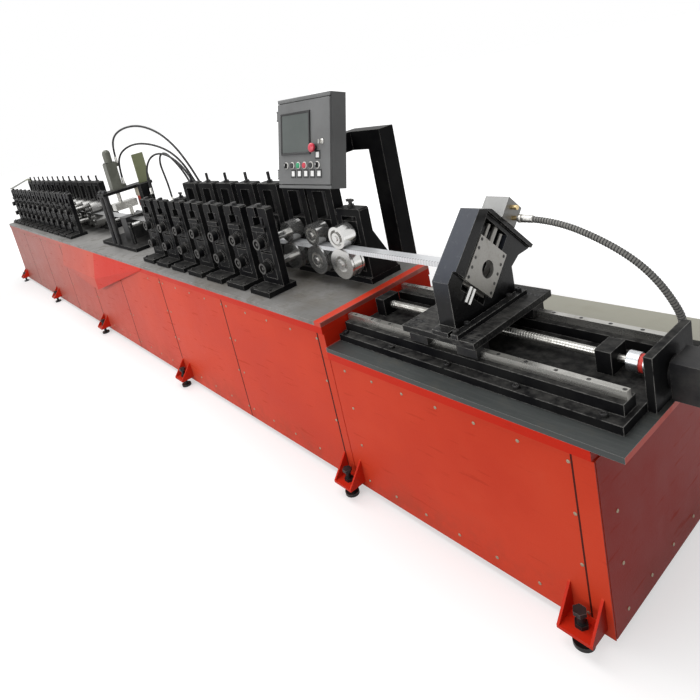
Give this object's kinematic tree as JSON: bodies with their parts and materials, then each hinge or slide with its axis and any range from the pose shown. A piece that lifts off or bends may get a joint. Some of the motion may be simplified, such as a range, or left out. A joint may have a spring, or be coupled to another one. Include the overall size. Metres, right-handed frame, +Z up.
{
  "type": "roll forming machine",
  "caption": "Roll forming line that bends strip metal into a channel between paired rolls, punches it, and cuts it to length with a sliding cutter",
  "frame": {"origin": "on the floor under the levelling foot at the joint of the two bases, on the operator's side", "axes": "X along the line towards the exit, Y from the operator's side to the far side, Z up"},
  "size_m": [8.282, 0.993, 1.7825],
  "materials": {
    "red_paint": "red-orange enamel, satin, dusty",
    "plate_steel": "ground steel plate, dull and oiled",
    "black_paint": "black paint with rubbed edges",
    "black_steel": "blackened steel",
    "chrome": "hard chrome, polished by the strip",
    "zinc_strip": "bright zinc coat",
    "olive_paint": "grey-green enamel",
    "beige_paint": "beige enamel",
    "tool_steel": "ground tool steel",
    "grey_enamel": "grey textured enamel",
    "dark_glass": "dark display glass",
    "button_plastic": "black, green and red plastic",
    "cast_alloy": "turned alloy",
    "red_plastic": "red elastomer",
    "hose_rubber": "black braided rubber hose",
    "brass_fitting": "plated brass"
  },
  "bodies": {
    "base": {"forming_base": "red_paint", "cutting_base": "red_paint", "side_panels": "red_paint", "table_plates": "plate_steel", "foot_brackets": "red_paint", "jack_bolts": "black_steel", "side_chute": "red_paint", "housings_near": "black_paint", "housings_far": "black_paint", "bearing_blocks": "black_paint", "adjusting_screws": "black_steel", "fixed_rolls": "chrome", "entry_cover": "olive_paint", "formed_strip": "zinc_strip", "punch_bed": "black_paint", "punch_die": "black_steel", "punch_columns": "black_steel", "punch_head": "black_paint", "punch_cylinder": "olive_paint", "punch_valve_block": "beige_paint", "punch_guard": "red_paint", "punch_back_plate": "olive_paint", "roller_stands": "black_paint", "control_post": "black_paint", "control_box": "grey_enamel", "slide_bed": "black_paint", "guide_rails": "tool_steel", "screw_supports": "black_paint", "servo_motor": "black_steel", "cutter_hose": "hose_rubber", "punch_hose_a": "hose_rubber", "punch_hose_b": "hose_rubber", "punch_hose_c": "hose_rubber", "punch_hose_d": "hose_rubber"},
    "carriage": {"carriage_plate": "black_steel", "slide_blocks": "black_steel", "screw_nut": "tool_steel", "cutter_frame": "black_paint", "die_plate": "tool_steel", "guide_pins": "chrome", "cutter_cylinder": "grey_enamel", "port_fittings": "brass_fitting"},
    "blade": {"cutter_blade": "tool_steel"},
    "screw": {"ball_screw": "tool_steel", "shaft_coupling": "cast_alloy", "coupling_spider": "red_plastic"},
    "ram": {"punch_ram": "tool_steel"},
    "panel_door": {"control_door": "grey_enamel", "control_screen": "dark_glass", "control_buttons": "button_plastic"},
    "idler_a": {"guide_roller_a": "chrome"},
    "idler_b": {"guide_roller_b": "chrome"},
    "upper_entry": {"roll_upper_entry": "chrome"},
    "lower_entry": {"roll_lower_entry": "chrome"},
    "upper_finish": {"roll_upper_finish": "chrome"},
    "lower_finish": {"roll_lower_finish": "chrome"},
    "upper_exit_a": {"roll_upper_exit_a": "chrome"},
    "lower_exit_a": {"roll_lower_exit_a": "chrome"},
    "upper_exit_b": {"roll_upper_exit_b": "chrome"},
    "lower_exit_b": {"roll_lower_exit_b": "chrome"}
  },
  "joints": [
    {"name": "lower_roll_exit_b", "type": "hinge", "parent": "base", "child": "lower_exit_b", "pos_m": [-0.165, 0.39, 0.958], "axis": [0, 1, 0], "continuous": true},
    {"name": "upper_roll_exit_b", "type": "hinge", "parent": "base", "child": "upper_exit_b", "pos_m": [-0.165, 0.39, 1.088], "axis": [0, 1, 0], "continuous": true},
    {"name": "lower_roll_exit_a", "type": "hinge", "parent": "base", "child": "lower_exit_a", "pos_m": [-0.35, 0.39, 0.958], "axis": [0, 1, 0], "continuous": true},
    {"name": "upper_roll_exit_a", "type": "hinge", "parent": "base", "child": "upper_exit_a", "pos_m": [-0.35, 0.39, 1.088], "axis": [0, 1, 0], "continuous": true},
    {"name": "lower_roll_finish", "type": "hinge", "parent": "base", "child": "lower_finish", "pos_m": [-0.559, 0.39, 0.958], "axis": [0, 1, 0], "continuous": true},
    {"name": "upper_roll_finish", "type": "hinge", "parent": "base", "child": "upper_finish", "pos_m": [-0.559, 0.39, 1.088], "axis": [0, 1, 0], "continuous": true},
    {"name": "lower_roll_entry", "type": "hinge", "parent": "base", "child": "lower_entry", "pos_m": [-3.85, 0.39, 0.958], "axis": [0, 1, 0], "continuous": true},
    {"name": "upper_roll_entry", "type": "hinge", "parent": "base", "child": "upper_entry", "pos_m": [-3.85, 0.39, 1.088], "axis": [0, 1, 0], "continuous": true},
    {"name": "guide_roller_a_turn", "type": "hinge", "parent": "base", "child": "idler_a", "pos_m": [-3.1, 0.39, 1.0112], "axis": [0, 1, 0], "continuous": true},
    {"name": "guide_roller_b_turn", "type": "hinge", "parent": "base", "child": "idler_b", "pos_m": [-2.64, 0.39, 1.0112], "axis": [0, 1, 0], "continuous": true},
    {"name": "carriage_travel", "type": "slide", "parent": "base", "child": "carriage", "axis": [1, 0, 0], "range_m": [-0.3, 0.38], "deforming": ["cutter_hose"]},
    {"name": "screw_turn", "type": "hinge", "parent": "base", "child": "screw", "pos_m": [0.5, 0.39, 0.785], "axis": [1, 0, 0], "continuous": true},
    {"name": "blade_stroke", "type": "slide", "parent": "carriage", "child": "blade", "axis": [0, -0.7071, -0.7071], "range_m": [0, 0.02]},
    {"name": "punch_stroke", "type": "slide", "parent": "base", "child": "ram", "axis": [0, 0, -1], "range_m": [0, 0.022]},
    {"name": "panel_door_swing", "type": "hinge", "parent": "base", "child": "panel_door", "pos_m": [-0.533, 0.35324, 1.32781], "axis": [0, -0.2588, -0.9659], "range_deg": [0, 110]}
  ],
  "couplings": [
    {"joint": "upper_roll_exit_b", "follows": "lower_roll_exit_b", "ratio": -1.3382},
    {"joint": "lower_roll_exit_a", "follows": "lower_roll_exit_b", "ratio": 1},
    {"joint": "upper_roll_exit_a", "follows": "lower_roll_exit_b", "ratio": -1.3382},
    {"joint": "lower_roll_finish", "follows": "lower_roll_exit_b", "ratio": 1},
    {"joint": "upper_roll_finish", "follows": "lower_roll_exit_b", "ratio": -1.3382},
    {"joint": "lower_roll_entry", "follows": "lower_roll_exit_b", "ratio": 1},
    {"joint": "upper_roll_entry", "follows": "lower_roll_exit_b", "ratio": -1.3382},
    {"joint": "screw_turn", "follows": "carriage_travel", "rad_per_m": -314.16}
  ]
}
